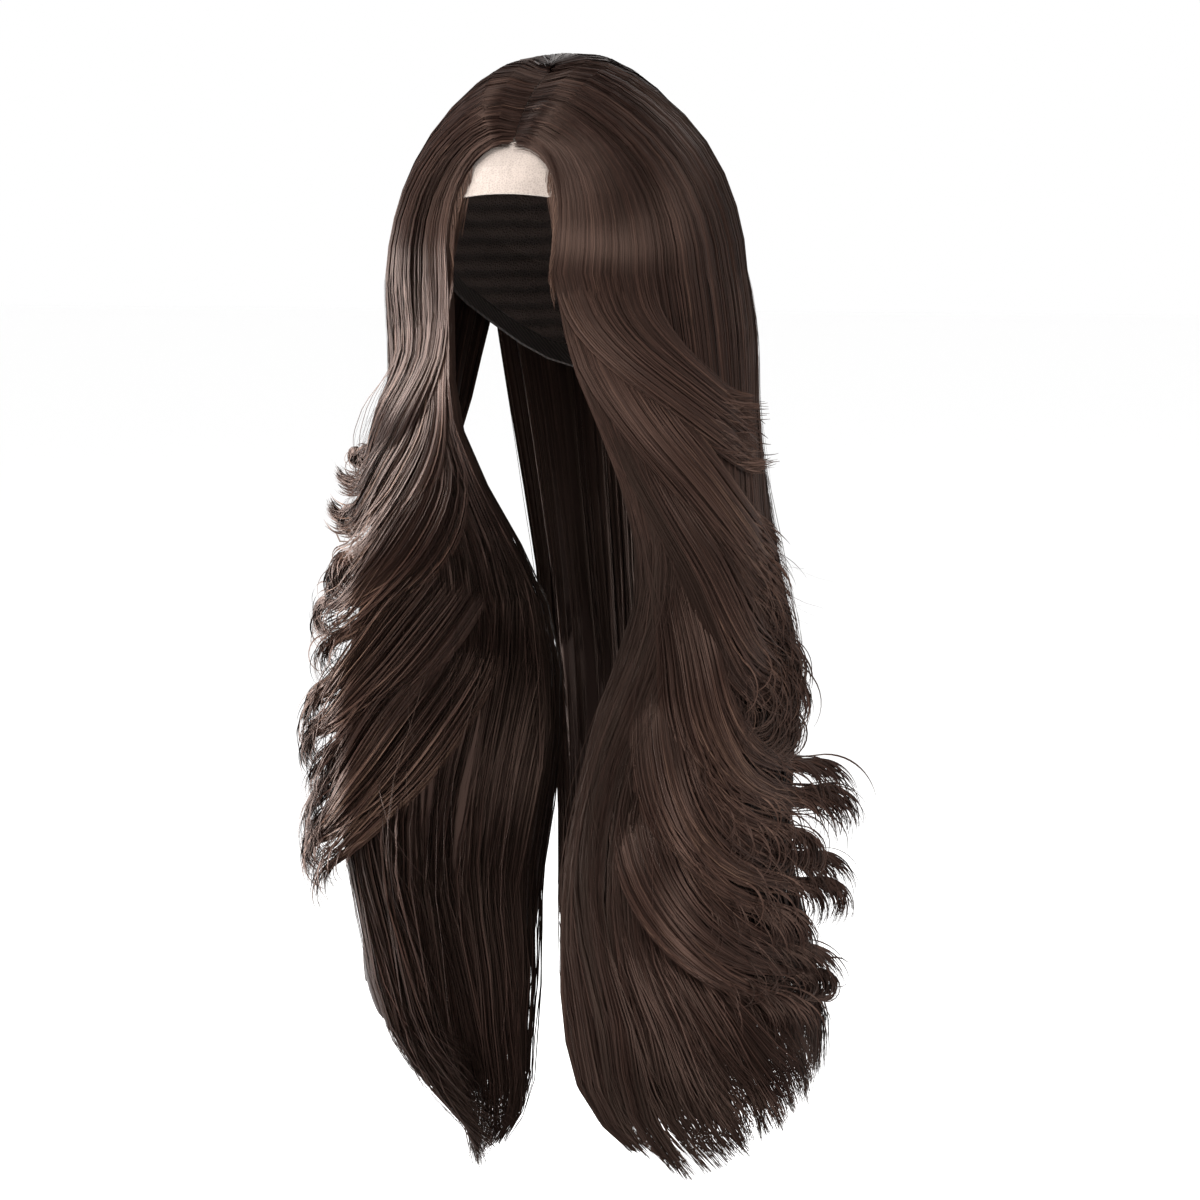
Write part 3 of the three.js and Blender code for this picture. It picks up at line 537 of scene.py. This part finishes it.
def mass_strands(form, seed, count, locks, low, high, samples, curl, flyaway=False):
    """Strands of a whole mass, from the roots over the crown and down the fall to the ends. low and
    high are the range of places that they start from, past 0 and 1 where the drift brings them in."""
    random = np.random.default_rng(seed)
    start = low + (high - low) * random.random(count)
    place = np.clip(start, 0, 1)
    lock, middle = lock_of(random, start, locks)
    shell = random.random(count) < 0.74
    depth = np.where(shell, random.random(count) ** 1.4 * 0.2, random.random(count))
    # The ends lie on a round line that rises towards the outer edge
    round_end = 0.1 * ease((place - 0.15) / 0.85) + 0.03 * ease((0.2 - place) / 0.2)
    end = 1.0 - random.random(count) ** 2 * 0.07 - round_end * form["thin_front"]
    lock_shade = (random.random(locks) - 0.5)[lock]
    swing = (0.5 + random.random(locks))[lock]
    phase = (random.random(locks) * 2 * math.pi)[lock]
    if flyaway:
        depth = -0.02 - 0.1 * random.random(count)
        end = 0.45 + 0.5 * random.random(count)

    root_x, root_y = root_offsets(random, place, "behind" if form["thin_front"] else "all round")
    crown, crown_out = crown_path(form, place, np.maximum(depth, -0.02), root_x, root_y)

    even = np.linspace(0, 1, samples + 1)[1:]
    share = mix(even, ease(even), 0.6)
    drop = CROWN_SHARE + (end - CROWN_SHARE)[:, None] * share[None, :]
    drift = np.interp(drop, DRIFT[:, 0], DRIFT[:, form["column"]])
    gather = 0.08 + 0.26 * ease((drop - 0.3) / 0.5) + 0.08 * ease((drop - 0.85) / 0.15)
    across = mix(start[:, None], middle[:, None] + 0 * drop, gather) + drift
    edge = random.normal(0, 0.012, count)[:, None] * ease((drop - 0.2) / 0.3)
    across = np.clip(across, np.abs(edge) - 0.015, 1.025 - np.abs(edge))
    grow = wave_growth(drop)
    across = across + 0.008 * grow * np.sin(2 * math.pi * drop * 3.4 + phase[:, None])
    wave = loose_wave(start[:, None], drop) - 0.001
    wave = wave + 0.0016 * swing[:, None] * np.sin(2 * math.pi * drop * 2.3 + phase[:, None])
    wave = wave + 0.012 * ease((drop - 0.86) / 0.1) * ease((across - 0.35) / 0.5)
    deep = np.broadcast_to(depth[:, None], drop.shape)
    fall, fall_out = mass_point(form, across, drop, deep, wave * grow)
    fall_out = turned_from(crown_out, fall_out, drop)

    # The ends turn towards the wearer's left and a little up
    tip = np.clip((share - 0.7) / 0.3, 0, 1)[None, :, None]
    amount = (0.75 + 0.35 * random.random(locks))[lock] * end_turn(form, start)
    fall[..., 0:1] += curl["aside"] * amount[:, None, None] * tip**2
    fall[..., 2:3] += curl["up"] * np.abs(amount)[:, None, None] * tip**3
    # The very tips hook in towards the middle of the mass
    from_edge = 1 - start if form["side"] == LEFT else start
    hook = 0.3 * curl["aside"] * mix(-0.4, 1.0, ease(from_edge / 0.5))[:, None, None] * tip**5
    fall[..., 0:1] += hook
    wander = 0.0045 if flyaway else 0.0011
    fall += random.normal(0, 1, (count, 1, 3)) * wander * share[None, :, None] ** 2
    if flyaway:
        bend = np.sin(2 * math.pi * (share[None, :] * 1.7 + random.random(count)[:, None]))
        fall += fall_out * (0.004 * bend * grow)[..., None]

    paths = np.concatenate([crown, fall], axis=1)
    outward = np.concatenate([crown_out, fall_out], axis=1)
    # Each lock and strand differs at random; strands deep in the mass are darker as painted shade
    tone = 0.42 + 0.24 * lock_shade + 0.4 * (random.random(count) - 0.5) - 0.12 * (depth > 0.25)
    tone = np.repeat(tone[:, None], paths.shape[1], axis=1)
    # Painted shade: darker where the face layers lie over the mass, and at the ends, which turn under
    painted_shade_under_layers = ease((drop - 0.36) / 0.12) * (1 - ease((drop - 0.74) / 0.14))
    painted_shade_under_layers = painted_shade_under_layers * mix(0.28, 0.1, ease(across / 0.4))
    tone[:, len(CROWN_SAMPLES) :] -= painted_shade_under_layers + 0.3 * ease((drop - 0.8) / 0.16)
    width = (FINE_WIDTH if flyaway else STRAND_WIDTH) * (0.7 + 0.6 * random.random(count))
    return strand_arrays(paths, outward, width, random.normal(0, 0.5, count), tone)


def layer_band(form, row, across, along, level):
    """Points of a face layer. level is 0 on its inner side and 1 on its outer side."""
    start, from_upper, from_lower, end_upper, to_upper, end_lower, to_lower, lift, curl = row
    place = mix(mix(from_lower, from_upper, across), mix(to_lower, to_upper, across), along**1.7)
    drop = mix(start, mix(end_lower, end_upper, across), 1 - np.maximum(0, 1 - along) ** 1.5)
    rise = along**3 * LAYER_DEPTH
    rounded = np.sqrt(np.clip(4 * across * (1 - across), 0, 1))
    full = ease(along / 0.4) * (1 - 0.75 * ease((along - 0.5) / 0.5))
    thick = LAYER_DEPTH * (0.14 + 0.86 * rounded * full)
    sunk = (1 - ease(along / 0.3)) * mix(0.06, 0.4, ease((start - 0.3) / 0.12)) * LAYER_DEPTH
    flick = 0.005 * np.maximum(0, (along - 0.68) / 0.3) ** 2
    out = lift * rise - sunk + mix(-0.1 * LAYER_DEPTH * full, thick, level) + flick
    points, outward = mass_point(form, place, drop, 0 * drop, out)
    points[..., 2] += curl * rise * along**3
    return points, outward, drop


def layer_strands(form, rows, tips, seed, count, fine=False):
    """Strands of the face layers: from the parting down the face edge, back across the fall, and
    gathered into locks that curl at the ends."""
    random = np.random.default_rng(seed)
    band_samples, curl_samples = 13, 11
    parts = []
    for number, row in enumerate(rows, 1):
        locks = np.array([tip[1:] for tip in tips if tip[0] == number])
        lock = random.choice(len(locks), count, p=locks[:, 4] / locks[:, 4].sum())
        middle, reach, radius, turn = (locks[lock, i] for i in range(4))
        spread = locks[lock, 5]
        loose = random.random(count) < (1.0 if fine else 0.16)
        across = np.clip(middle + random.normal(0, 0.17, count), 0, 1)
        level = random.random(count)
        reach = reach * (1 - (0.08 + 0.12 * spread) * random.random(count) ** 1.5)
        reach = np.where(loose, reach * (0.8 + 0.22 * random.random(count)), reach)
        vary = 0.12 + 0.6 * spread
        radius = radius / 1000 * (1 + vary * (2 * random.random(count) - 1)) * np.where(loose, 1.2, 1.0)
        turn = np.radians(turn) * (1 + 0.8 * vary * (2 * random.random(count) - 1))
        if fine:
            level = 1.0 + 0.6 * random.random(count)
            radius = radius * (0.6 + 0.5 * random.random(count))
        start = row[0]
        place = mix(row[2], row[1], across)
        root_x, root_y = root_offsets(random, place, "behind")
        crown, crown_out = crown_path(form, place, 0.3 * (1 - np.minimum(level, 1)), root_x, root_y)

        down = np.linspace(0, 1, max(3, round((start - CROWN_SHARE) / 0.045)) + 1)[1:-1]
        drop = CROWN_SHARE + (start - CROWN_SHARE) * np.broadcast_to(down, (count, len(down)))
        wide = np.broadcast_to(place[:, None], drop.shape)
        deep = np.broadcast_to(0.1 * (1 - level)[:, None], drop.shape)
        straight, straight_out = mass_point(form, wide, drop, deep, 0 * drop)

        along = reach[:, None] * np.linspace(0, 1, band_samples)[None, :]
        hold = np.where(loose, 0.3, 0.94 * (1 - spread))
        gather = hold[:, None] * ease((along - 0.4) / 0.5)
        c = mix(across[:, None], middle[:, None], gather)
        flat = mix(level[:, None], 0.5, 0.6 * gather)
        band, band_out, band_drop = layer_band(form, row, c, along, flat)
        straight_out = turned_from(crown_out, straight_out, drop)
        band_out = turned_from(crown_out, band_out, band_drop)

        travel = unit(0.7 * unit(band[:, -1] - band[:, -2]) + 0.5 * band_out[:, -1])
        down_way = -np.sign(turn)
        aside = np.stack([0 * turn, 0 * turn, down_way], axis=-1) + 0.15 * band_out[:, -1]
        aside = unit(aside - travel * (aside * travel).sum(-1, keepdims=True))
        angle = np.abs(turn)[:, None] * np.linspace(0, 1, curl_samples + 1)[None, 1:]
        shrink = radius[:, None] * (1 - 0.25 * angle / math.pi)
        curl = (
            band[:, -1:, :]
            + (shrink * np.sin(angle))[..., None] * travel[:, None, :]
            + (shrink * (1 - np.cos(angle)))[..., None] * aside[:, None, :]
        )
        curl_out = np.repeat(band_out[:, -1:, :], curl_samples, axis=1)

        paths = np.concatenate([crown, straight, band, curl], axis=1)
        outward = np.concatenate([crown_out, straight_out, band_out, curl_out], axis=1)
        share = np.linspace(0, 1, paths.shape[1])
        wander = 0.0018 if fine else 0.0009
        paths += random.normal(0, 1, (count, 1, 3)) * wander * share[None, :, None] ** 3
        shade = (random.random(len(locks)) - 0.5)[lock]
        tone = 0.44 + 0.3 * shade + 0.42 * (random.random(count) - 0.5)
        # Painted light: the layers on the wearer's right are made lighter, as though more light falls on
        # that side
        tone = tone + 0.08 * (form["side"] == RIGHT)
        # Painted shade and highlight: the lower layers are darker where they come out from under the upper
        # ones, and lighter where they bend
        painted_bend_highlight = mix(0.08, 0.15, ease((start - 0.2) / 0.15))
        painted_layer_shade_and_highlight = painted_bend_highlight * ease((share - 0.48) / 0.15) * (1 - ease((share - 0.68) / 0.15))
        painted_layer_shade_and_highlight = painted_layer_shade_and_highlight - mix(0.02, 0.24, ease((start - 0.26) / 0.1)) * (1 - ease((share - 0.4) / 0.2))
        tone = tone[:, None] + painted_layer_shade_and_highlight[None, :]
        width = (FINE_WIDTH if fine else STRAND_WIDTH) * (0.65 + 0.6 * random.random(count))
        parts.append(strand_arrays(paths, outward, width, random.normal(0, 0.5, count), tone))
    return joined(parts)


def hairline_strands(form, seed, count):
    """Short fine hairs along the face edge."""
    random = np.random.default_rng(seed)
    samples = 9
    reached = 0.36 + 0.6 * random.random(count)
    place = np.zeros(count)
    direction = crown_direction(form, place, reached)
    root = over_cap(direction, HAIR_CLEAR + 0.5 * crown_thickness(form, place, reached))
    outward = unit(direction / np.array([HALF_WIDTH, HALF_LENGTH, CROWN_HEIGHT]))
    length = 0.015 + 0.035 * random.random(count) ** 1.5
    t = np.broadcast_to(np.linspace(0, 1, samples), (count, samples))
    wide = 0 * t
    later = np.minimum(1, reached[:, None] + 0.35 * t)
    half_thick = 0.5 * crown_thickness(form, wide, later)
    edge = over_cap(crown_direction(form, wide, later), HAIR_CLEAR + half_thick)
    fall = np.stack([0 * t, 0 * t, -length[:, None] * t], axis=-1)
    paths = mix(root[:, None, :] + fall, edge, 0.5)
    inward = np.array([-form["side"], -0.4, 0.0])
    bow = (0.0005 + 0.0025 * random.random(count))[:, None] * np.sin(math.pi * np.minimum(1, 1.1 * t))
    paths = paths + inward * bow[..., None]
    tone = np.repeat((0.6 + 0.3 * random.random(count))[:, None], samples, axis=1)
    width = FINE_WIDTH * (0.6 + 0.5 * random.random(count))
    outward = np.repeat(outward[:, None, :], samples, axis=1)
    return strand_arrays(paths, outward, width, random.normal(0, 0.5, count), tone)


def mass_core(name, form, material, curl, across=56, down=60):
    """The closed inner body of a mass, just under its outermost strands, with a ragged lower end."""
    columns = np.linspace(0.03, 0.97, across)
    reached = np.array([0.1, 0.16, 0.24, 0.34, 0.48, 0.62, 0.76, 0.9, 1.0])
    wide, far = np.meshgrid(columns, reached)
    direction = crown_direction(form, wide, far)
    thick = crown_thickness(form, wide, far) * ease(far / 0.2)
    top = over_cap(direction, HAIR_CLEAR + np.maximum(0.0002, thick - 0.0026))
    bottom = over_cap(direction, HAIR_CLEAR - 0.0002 + 0 * thick)
    share = np.linspace(0, 1, down)[1:]
    ragged = 0.93 + 0.01 * np.sin(17 * columns) + 0.008 * np.sin(41 * columns + 1)
    ragged = ragged - 0.14 * ease((columns - 0.2) / 0.8) - 0.1 * ease((0.3 - columns) / 0.3)
    wide, far = np.meshgrid(columns, share)
    drop = CROWN_SHARE + (ragged[None, :] - CROWN_SHARE) * far
    shy = np.minimum(0.0045, 0.3 * fall_depth(form, wide, drop)) + 0.006 * ease((drop - 0.8) / 0.1)
    wave = wave_growth(drop) * loose_wave(wide, drop)
    outer, _ = mass_point(form, wide, drop, 0 * drop, wave - shy)
    inner, _ = mass_point(form, wide, drop, 0 * drop + 1, np.minimum(shy, 0.004))
    turned = 0.9 * curl["aside"] * end_turn(form, wide) * np.clip((drop - 0.75) / 0.25, 0, 1) ** 2
    outer[..., 0] += turned
    inner[..., 0] += turned
    outer = np.concatenate([top, outer])
    inner = np.concatenate([bottom, inner])
    rows, cols = outer.shape[:2]
    points = np.concatenate([outer.reshape(-1, 3), inner.reshape(-1, 3)])
    index = np.arange(rows * cols).reshape(rows, cols)
    other = index + rows * cols
    faces = [
        np.stack([index[:-1, :-1], index[1:, :-1], index[1:, 1:], index[:-1, 1:]], -1).reshape(-1, 4),
        np.stack([other[:-1, :-1], other[:-1, 1:], other[1:, 1:], other[1:, :-1]], -1).reshape(-1, 4),
    ]
    for line, back in ((index[:, 0], other[:, 0]), (index[::-1, -1], other[::-1, -1]),
                       (index[0, ::-1], other[0, ::-1]), (index[-1], other[-1])):
        faces.append(np.stack([line[:-1], back[:-1], back[1:], line[1:]], -1))
    u, v = np.meshgrid(columns * 260, np.arange(rows) / rows * 0.6)
    uv = np.tile(np.stack([u, v], axis=-1).reshape(-1, 2), (2, 1))
    tones = np.full(len(points), 0.35)
    return new_mesh(name, material, points, np.concatenate(faces), tones, uv)


def stretch_net(name):
    """Knitted nylon net with rows of hair sewn on it: small open cells, crossed by raised dark rows."""
    material = new_material(name)
    place = add_node(material, "ShaderNodeTexCoord")
    # Rows every 9 mm; the net's real 0.7 mm cells are drawn at 1.6 mm so that they show
    rows = add_node(
        material,
        "ShaderNodeTexWave",
        {"wave_type": "BANDS", "bands_direction": "Z", "Scale": 2 * math.pi / 0.009 / 20,
         "Distortion": 0.6, "Detail": 1.0, "Detail Scale": 3.0},
        {"Vector": place.outputs["Object"]},
    )
    cells = add_node(
        material, "ShaderNodeTexVoronoi", {"Scale": 1 / 0.0016, "feature": "DISTANCE_TO_EDGE"},
        {"Vector": place.outputs["Object"]},
    )
    yarn = add_node(
        material, "ShaderNodeMapRange", {"From Min": 0.04, "From Max": 0.2, "To Min": 1.0, "To Max": 0.0},
        {"Value": cells.outputs["Distance"]},
    )
    relief = add_node(
        material, "ShaderNodeMath", {"operation": "MULTIPLY_ADD", 1: 0.5},
        {0: yarn.outputs["Result"], 2: rows.outputs["Fac"]},
    )
    bump = add_node(
        material,
        "ShaderNodeBump",
        {"Strength": 0.7, "Distance": 0.0006},
        {"Height": relief.outputs["Value"]},
    )
    ramp = colour_ramp(
        material, relief.outputs["Value"], ((0.0, "#1f1815"), (0.8, "#2f2521"), (1.0, "#3a2f2a"))
    )
    shader = add_node(
        material,
        "ShaderNodeBsdfPrincipled",
        {"Roughness": 0.85, "Specular IOR Level": 0.3},
        {"Base Color": ramp.outputs["Color"], "Normal": bump.outputs["Normal"]},
    )
    return finish_material(material, shader)


def ribbed_elastic(name):
    """Woven elastic: fine upright ribs every 1.4 mm, with a dull dark finish."""
    material = new_material(name)
    place = add_node(material, "ShaderNodeTexCoord")
    ribs = add_node(
        material,
        "ShaderNodeTexWave",
        {"wave_type": "BANDS", "bands_direction": "DIAGONAL", "Scale": 2 * math.pi / 0.0014 / 20},
        {"Vector": place.outputs["Object"]},
    )
    bump = add_node(
        material, "ShaderNodeBump", {"Strength": 0.5, "Distance": 0.0004}, {"Height": ribs.outputs["Fac"]}
    )
    ramp = colour_ramp(material, ribs.outputs["Fac"], ((0.0, "#14100e"), (1.0, "#2f2622")))
    shader = add_node(
        material,
        "ShaderNodeBsdfPrincipled",
        {"Roughness": 0.8, "Specular IOR Level": 0.3},
        {"Base Color": ramp.outputs["Color"], "Normal": bump.outputs["Normal"]},
    )
    return finish_material(material, shader)


def fine_lace(name):
    """Fine beige net for tying single hairs into: hexagonal cells under 1 mm, drawn at 1.3 mm so that
    they show, soft and matt, with cloudy changes of shade where it lies in two thicknesses."""
    material = new_material(name)
    place = add_node(material, "ShaderNodeTexCoord")
    cells = add_node(
        material, "ShaderNodeTexVoronoi", {"Scale": 1 / 0.0013, "feature": "DISTANCE_TO_EDGE"},
        {"Vector": place.outputs["Object"]},
    )
    cloud = add_node(
        material, "ShaderNodeTexNoise", {"Scale": 60.0, "Detail": 2.0}, {"Vector": place.outputs["Object"]}
    )
    thread = add_node(
        material, "ShaderNodeMapRange", {"From Min": 0.02, "From Max": 0.22, "To Min": 0.35, "To Max": 0.0},
        {"Value": cells.outputs["Distance"]},
    )
    shade = add_node(
        material, "ShaderNodeMath", {"operation": "ADD"},
        {0: thread.outputs["Result"], 1: cloud.outputs["Fac"]},
    )
    ramp = colour_ramp(
        material, shade.outputs["Value"], ((0.25, "#685f58"), (0.55, "#776d66"), (0.95, "#887d75"))
    )
    bump = add_node(
        material,
        "ShaderNodeBump",
        {"Strength": 0.4, "Distance": 0.0003},
        {"Height": thread.outputs["Result"]},
    )
    shader = add_node(
        material,
        "ShaderNodeBsdfPrincipled",
        {"Roughness": 0.9, "Specular IOR Level": 0.25, "Sheen Weight": 0.2, "Sheen Roughness": 0.5},
        {"Base Color": ramp.outputs["Color"], "Normal": bump.outputs["Normal"]},
    )
    return finish_material(material, shader)


# The hair
HAIR_STOPS = ((0.0, "#070403"), (0.4, "#140b09"), (0.75, "#2a1c17"), (1.0, "#4e3c31"))
# Painted shade: the core is a darker copy of the fibre, coloured as hair in shade, so that the gaps between
# the strands read as hair in shade
PAINTED_SHADE_CORE_STOPS = ((0.0, "#070404"), (0.5, "#120a09"), (1.0, "#1d1310"))
hair = silky_fibre("silky_heat_resistant_fibre", HAIR_STOPS, 0.42)
painted_shade_core_hair = silky_fibre("heat_resistant_fibre_painted_shade", PAINTED_SHADE_CORE_STOPS, 0.55)

SIDE_CURL = dict(aside=0.036, up=0.016)
BACK_CURL = dict(aside=0.008, up=0.004)
MASSES = (
    # name, seed, strands, locks, first and last place, samples below the crown, curl
    ("left", 11, 3450, 52, -0.2, 1.08, 17, SIDE_CURL),
    ("right", 12, 3450, 52, -0.14, 1.2, 17, SIDE_CURL),
    ("back", 13, 2700, 44, -0.02, 1.02, 13, BACK_CURL),
)
pieces = {}
for word, seed, count, locks, low, high, samples, curl in MASSES:
    form = FORMS[word]
    strands = mass_strands(form, seed, count, locks, low, high, samples, curl)
    pieces[f"hair_{word}_strands"] = new_mesh(f"hair_{word}_strands", hair, *strands)
    pieces[f"hair_{word}_core"] = mass_core(f"hair_{word}_core", form, painted_shade_core_hair, curl)
    loose = [mass_strands(form, seed + 20, 170, 170, low, high, 17, curl, flyaway=True)]
    if word != "back":
        loose.append(hairline_strands(form, seed + 30, 150))
    pieces[f"hair_{word}_flyaways"] = new_mesh(f"hair_{word}_flyaways", hair, *joined(loose))
for word, rows, tips, seed, count in (
    ("left", LEFT_LAYERS, LEFT_TIPS, 21, 420),
    ("right", RIGHT_LAYERS, RIGHT_TIPS, 22, 430),
):
    layers = layer_strands(FORMS[word], rows, tips, seed, count)
    pieces[f"{word}_face_layer_strands"] = new_mesh(f"{word}_face_layer_strands", hair, *layers)
    wisps = layer_strands(FORMS[word], rows, tips, seed + 40, 26, fine=True)
    pieces[f"{word}_face_layer_wisps"] = new_mesh(f"{word}_face_layer_wisps", hair, *wisps)

for name, piece in pieces.items():
    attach(piece, "root")
for word in ("left", "right", "back"):
    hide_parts(f"hair_{word}")
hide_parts(*[f"face_layer_left_{i}" for i in range(1, 7)])
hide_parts(*[f"face_layer_right_{i}" for i in range(1, 6)])

# The cap, its elastic and the lace keep their frame meshes
for node, material in (
    ("cap", stretch_net("knitted_net_with_sewn_rows")),
    ("edge_band", ribbed_elastic("woven_elastic")),
    ("lace_front", fine_lace("fine_ventilating_lace")),
):
    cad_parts[node].data.materials.clear()
    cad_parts[node].data.materials.append(material)

# Camera, floor and light
TARGET = np.array([0.016, 0.006, -0.281])
AZIMUTH = math.radians(20)
ELEVATION = math.radians(5)
DISTANCE = 2.4
PICTURE_WIDTH = 1200 * 0.000535  # 0.535 mm to a pixel at the middle of the wig
SENSOR_WIDTH = 36

camera_data = bpy.data.cameras.new("camera")
camera = bpy.data.objects.new("camera", camera_data)
bpy.context.scene.collection.objects.link(camera)
forward = np.array([
    -math.sin(AZIMUTH) * math.cos(ELEVATION),
    math.cos(AZIMUTH) * math.cos(ELEVATION),
    -math.sin(ELEVATION),
])
camera.location = TARGET - forward * DISTANCE
camera.rotation_euler = (math.pi / 2 - ELEVATION, 0, AZIMUTH)
camera_data.sensor_width = SENSOR_WIDTH
camera_data.lens = SENSOR_WIDTH * DISTANCE / PICTURE_WIDTH
camera_data.clip_end = 50
bpy.context.scene.camera = camera


def softbox(name, place, aim, size, power):
    data = bpy.data.lights.new(name, "AREA")
    data.shape = "RECTANGLE"
    data.size, data.size_y = size
    data.energy = power
    made = bpy.data.objects.new(name, data)
    bpy.context.scene.collection.objects.link(made)
    made.location = place
    way = np.array(aim) - np.array(place)
    yaw = math.atan2(way[1], way[0]) - math.pi / 2
    pitch = math.atan2(way[2], math.hypot(way[0], way[1]))
    made.rotation_euler = (math.pi / 2 + pitch, 0, yaw)


softbox("key_softbox", (-1.0, -2.4, 1.3), (0, 0, -0.2), (1.1, 1.0), 130)
softbox("side_softbox", (-2.6, -0.7, -0.25), (0, 0, -0.35), (1.1, 1.1), 250)
softbox("fill_softbox", (2.1, -1.9, 0.6), (0, 0, -0.3), (1.0, 0.8), 75)
softbox("rim_softbox", (0.5, 2.2, 1.4), (0, 0, -0.2), (1.6, 1.0), 18)

world = bpy.data.worlds.new("studio")
bpy.context.scene.world = world
world.use_nodes = True
world.node_tree.nodes["Background"].inputs["Color"].default_value = linear("#ffffff")
world.node_tree.nodes["Background"].inputs["Strength"].default_value = 1.0
bpy.context.scene.view_settings.view_transform = "Standard"

floor_material = new_material("white_studio_paper")
paper = add_node(
    floor_material, "ShaderNodeBsdfPrincipled", {"Base Color": linear("#fefefe"), "Roughness": 0.95}
)
finish_material(floor_material, paper)
FLOOR_Z = -0.85
FLOOR_SIZE = 30.0
corners = np.array([
    (x * FLOOR_SIZE, y * FLOOR_SIZE, FLOOR_Z) for x, y in ((-1, -1), (1, -1), (1, 1), (-1, 1))
])
floor = new_mesh("floor", floor_material, corners, np.array([(0, 1, 2, 3)]))
